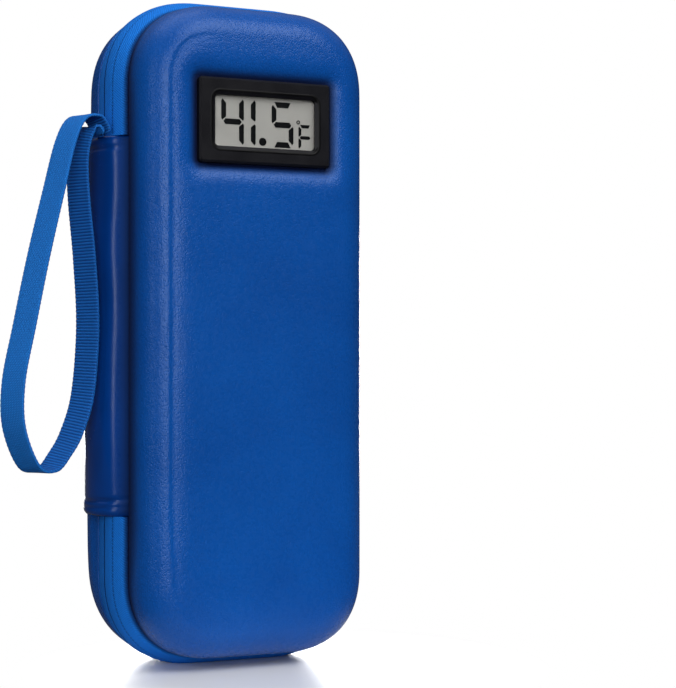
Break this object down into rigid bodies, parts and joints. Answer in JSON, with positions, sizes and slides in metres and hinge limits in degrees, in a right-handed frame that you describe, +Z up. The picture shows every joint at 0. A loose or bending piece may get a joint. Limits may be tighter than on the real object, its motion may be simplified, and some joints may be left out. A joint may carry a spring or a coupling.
{
  "type": "insulin cooling case",
  "caption": "Hard zip-round cooling case with a moulded front, a temperature display, a folding spine, a wrist strap, a foil-lined inside with ice packs, a net pocket and elastic pen loops.",
  "frame": {"origin": "centre of the flat patch of zip tape that the shut case stands on, at the floor", "axes": "+Z up the case's height, -Y out of the display face, -X towards the spine and the wrist strap"},
  "size_m": [0.1338, 0.0602, 0.2305],
  "materials": {
    "leather": "moulded blue imitation leather with a fine grain",
    "zip_tape": "smooth woven zip tape",
    "zip_coil": "nylon coil",
    "strap": "ribbed nylon webbing",
    "foil": "crinkled metallised film on foam",
    "black_fabric": "black woven trim",
    "black_plastic": "fine matt moulding",
    "lens": "clear window",
    "lcd": "grey display panel with dark digits",
    "board": "green solder mask",
    "contact_rubber": "layered contact rubber",
    "steel": "bright nickel plate",
    "ice_plastic": "translucent blue bottle plastic"
  },
  "bodies": {
    "back_half": {"back_shell": "leather", "back_liner": "foil", "back_binding": "black_fabric", "back_zip_tape": "zip_tape", "back_zip_coil": "zip_coil", "back_pocket_panel": "foil", "back_pocket_trim": "black_fabric", "pen_loop_band": "black_fabric"},
    "spine": {"spine_cover": "leather", "spine_lining": "black_fabric", "upper_zip_end": "zip_tape", "lower_zip_end": "zip_tape"},
    "strap": {"wrist_strap": "strap"},
    "lid": {"front_shell": "leather", "front_liner": "foil", "front_binding": "black_fabric", "front_zip_tape": "zip_tape", "front_zip_coil": "zip_coil", "net_pocket": "black_fabric", "net_hem": "black_fabric", "display_bezel": "black_plastic", "display_lens": "lens", "lcd_panel": "lcd", "upper_contact_strip": "contact_rubber", "lower_contact_strip": "contact_rubber", "circuit_board": "board", "module_case": "black_plastic", "left_button_cell": "steel", "right_button_cell": "steel", "unit_switch": "black_plastic", "sensor_bead": "steel", "left_spring_clip": "steel", "right_spring_clip": "steel"},
    "back_pack": {"back_ice_pack": "ice_plastic"},
    "lid_pack": {"front_ice_pack": "ice_plastic"},
    "battery_door": {"battery_cover": "black_plastic"},
    "unit_key": {"unit_button": "black_plastic"},
    "upper_slider_body": {"upper_slider": "steel"},
    "lower_slider_body": {"lower_slider": "steel"},
    "upper_pull_body": {"upper_pull": "steel"},
    "lower_pull_body": {"lower_pull": "steel"}
  },
  "joints": [
    {"name": "spine_hinge", "type": "hinge", "parent": "back_half", "child": "spine", "pos_m": [-0.04775, 0.0075, 0.117], "axis": [0, 0, -1], "range_deg": [0, 90]},
    {"name": "lid_hinge", "type": "hinge", "parent": "spine", "child": "lid", "pos_m": [-0.04475, -0.0155, 0.117], "axis": [0, 0, -1], "range_deg": [0, 90]},
    {"name": "strap_swing", "type": "hinge", "parent": "spine", "child": "strap", "pos_m": [-0.0468, -0.006, 0.1824], "axis": [0, 1, 0], "range_deg": [0, 35]},
    {"name": "back_pack_slide", "type": "slide", "parent": "back_half", "child": "back_pack", "axis": [0, 0, 1], "range_m": [0, 0.025]},
    {"name": "lid_pack_slide", "type": "slide", "parent": "lid", "child": "lid_pack", "axis": [0, 0, 1], "range_m": [0, 0.017]},
    {"name": "battery_cover_slide", "type": "slide", "parent": "lid", "child": "battery_door", "axis": [1, 0, 0], "range_m": [0, 0.007]},
    {"name": "unit_press", "type": "slide", "parent": "lid", "child": "unit_key", "axis": [0, -1, 0], "range_m": [0, 0.0005], "stiffness_N_per_m": 400},
    {"name": "upper_zip_run", "type": "slide", "parent": "back_half", "child": "upper_slider_body", "axis": [0, 0, 1], "range_m": [0, 0.065]},
    {"name": "lower_zip_run", "type": "slide", "parent": "back_half", "child": "lower_slider_body", "axis": [0, 0, -1], "range_m": [0, 0.065]},
    {"name": "upper_pull_swing", "type": "hinge", "parent": "upper_slider_body", "child": "upper_pull_body", "pos_m": [0.048, -0.002, 0.1239], "axis": [0, -1, 0], "range_deg": [0, 140]},
    {"name": "lower_pull_swing", "type": "hinge", "parent": "lower_slider_body", "child": "lower_pull_body", "pos_m": [0.048, -0.002, 0.1061], "axis": [0, -1, 0], "range_deg": [0, 140]}
  ],
  "couplings": [
    {"joint": "lid_hinge", "follows": "spine_hinge", "ratio": 1}
  ]
}
